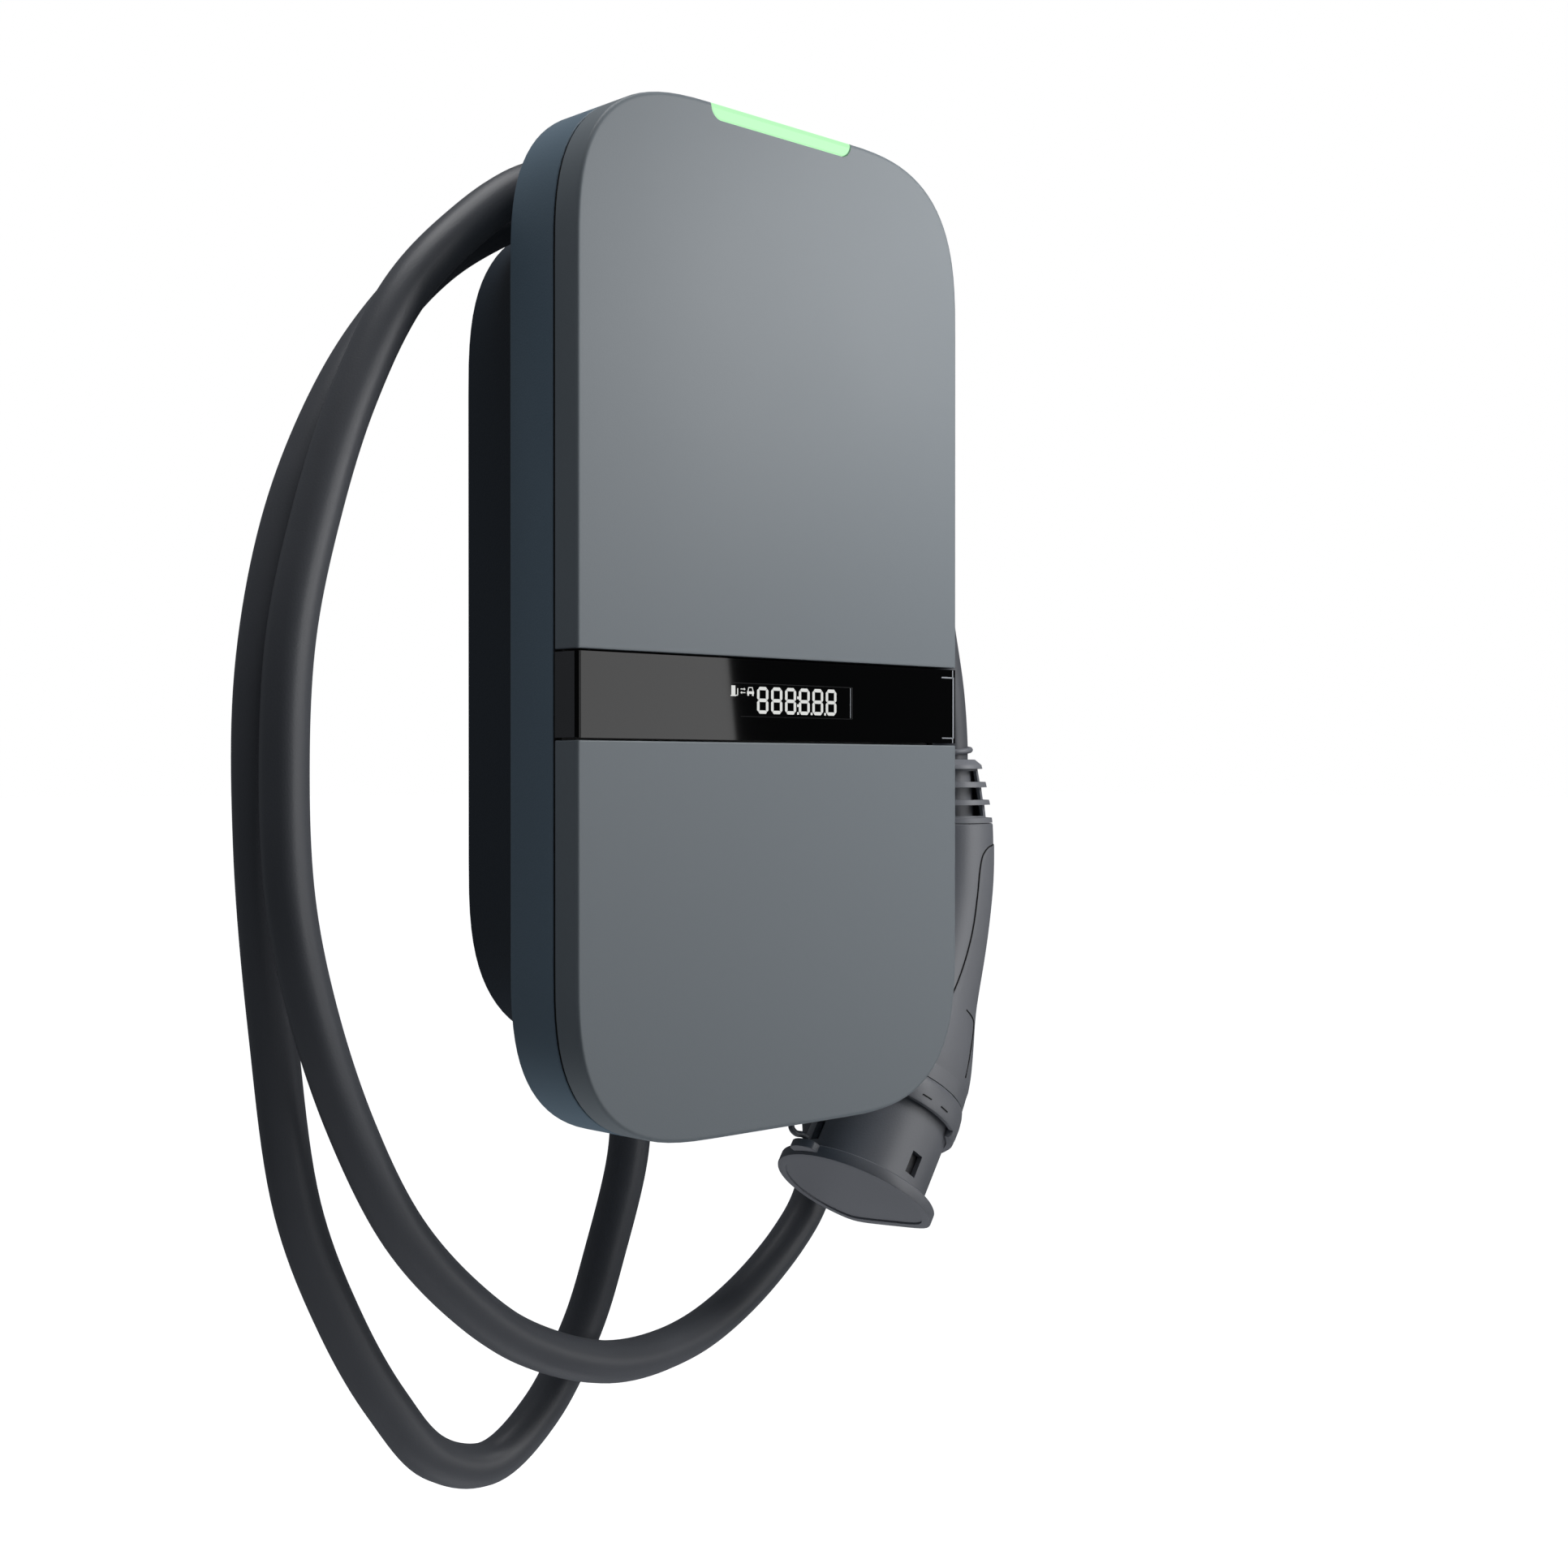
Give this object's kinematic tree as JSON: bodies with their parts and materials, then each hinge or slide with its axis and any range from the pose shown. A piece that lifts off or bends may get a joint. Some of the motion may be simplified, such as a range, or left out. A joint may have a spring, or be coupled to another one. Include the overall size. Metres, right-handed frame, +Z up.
{
  "type": "wall-mounted ev charger",
  "caption": "Wall-mounted charger for electric cars with a fixed cable hung in two turns behind its rounded front housing, a display band, a status light and a capped plug.",
  "frame": {"origin": "centre of the wall plate's back face, in the plane of the wall", "axes": "+X to the right seen from the front, +Y into the wall, +Z up"},
  "size_m": [0.339, 0.092, 0.4711],
  "materials": {
    "steel": "zinc-plated, satin",
    "rear_shell": "moulded, fine texture, near black",
    "front_shell": "moulded, satin, dark blue-grey",
    "cover": "satin grey lacquer on a moulded cover",
    "display_gloss": "high gloss black",
    "lcd": "dark display with pale digits",
    "light_guide": "translucent light guide, lit green",
    "circuit_board": "solder mask",
    "component_black": "moulded component case",
    "terminal_grey": "moulded",
    "copper": "wound copper",
    "brass": "machined",
    "wire_brown": "insulation",
    "wire_black": "insulation",
    "wire_grey": "insulation",
    "wire_blue": "insulation",
    "wire_green_yellow": "insulation",
    "dark_plastic": "glass-filled nylon",
    "rubber": "matt",
    "cable_sheath": "smooth satin sheath",
    "boot_plastic": "moulded, satin",
    "plug_plastic": "moulded, fine texture",
    "grip_rubber": "soft-touch",
    "cap_plastic": "moulded, satin"
  },
  "bodies": {
    "unit": {"wall_plate": "steel", "rear_housing": "rear_shell", "housing_gasket": "rubber", "front_housing": "front_shell", "inner_plate": "dark_plastic", "display_window": "display_gloss", "lcd_module": "lcd", "display_board": "circuit_board", "led_light_guide": "light_guide", "led_board": "circuit_board", "main_board": "circuit_board", "relay_1": "component_black", "relay_2": "component_black", "energy_meter": "terminal_grey", "power_supply": "component_black", "current_sensor": "copper", "output_terminals": "terminal_grey", "supply_terminals": "terminal_grey", "wire_l1": "wire_brown", "wire_l2": "wire_black", "wire_l3": "wire_grey", "wire_n": "wire_blue", "wire_pe": "wire_green_yellow", "gland_body": "dark_plastic", "gland_locknut": "dark_plastic", "gland_dome_nut": "dark_plastic", "gland_seal": "rubber", "supply_grommet": "rubber", "charging_cable": "cable_sheath", "cap_leash": "cable_sheath", "strain_boot": "boot_plastic", "leash_ring": "plug_plastic", "plug_cable_clamp": "steel", "handle_shell_front": "plug_plastic", "handle_shell_back": "plug_plastic", "grip_inlay": "grip_rubber", "head_collar": "plug_plastic", "nose_sleeve": "plug_plastic", "contact_carrier": "dark_plastic", "inner_plate_screw_1": "steel", "flange_screw_1": "steel", "inner_plate_screw_2": "steel", "flange_screw_2": "steel", "inner_plate_screw_3": "steel", "flange_screw_3": "steel", "inner_plate_screw_4": "steel", "flange_screw_4": "steel", "wall_plate_screw_1": "steel", "wall_plate_screw_2": "steel", "socket_contact_1": "brass", "socket_contact_2": "brass", "socket_contact_3": "brass", "socket_contact_4": "brass", "socket_contact_5": "brass", "socket_contact_6": "brass", "socket_contact_7": "brass"},
    "upper_cover": {"upper_cover": "cover"},
    "lower_cover": {"lower_cover": "cover"},
    "cap": {"protective_cap": "cap_plastic", "cap_seal": "rubber"}
  },
  "joints": [
    {"name": "cap_pull", "type": "slide", "parent": "unit", "child": "cap", "axis": [-0.592, -0.0632, -0.8034], "range_m": [0, 0.03], "deforming": ["cap_leash"]},
    {"name": "upper_cover_release", "type": "slide", "parent": "unit", "child": "upper_cover", "axis": [0, -1, 0], "range_m": [0, 0.02]},
    {"name": "lower_cover_release", "type": "slide", "parent": "unit", "child": "lower_cover", "axis": [0, -1, 0], "range_m": [0, 0.02]}
  ]
}
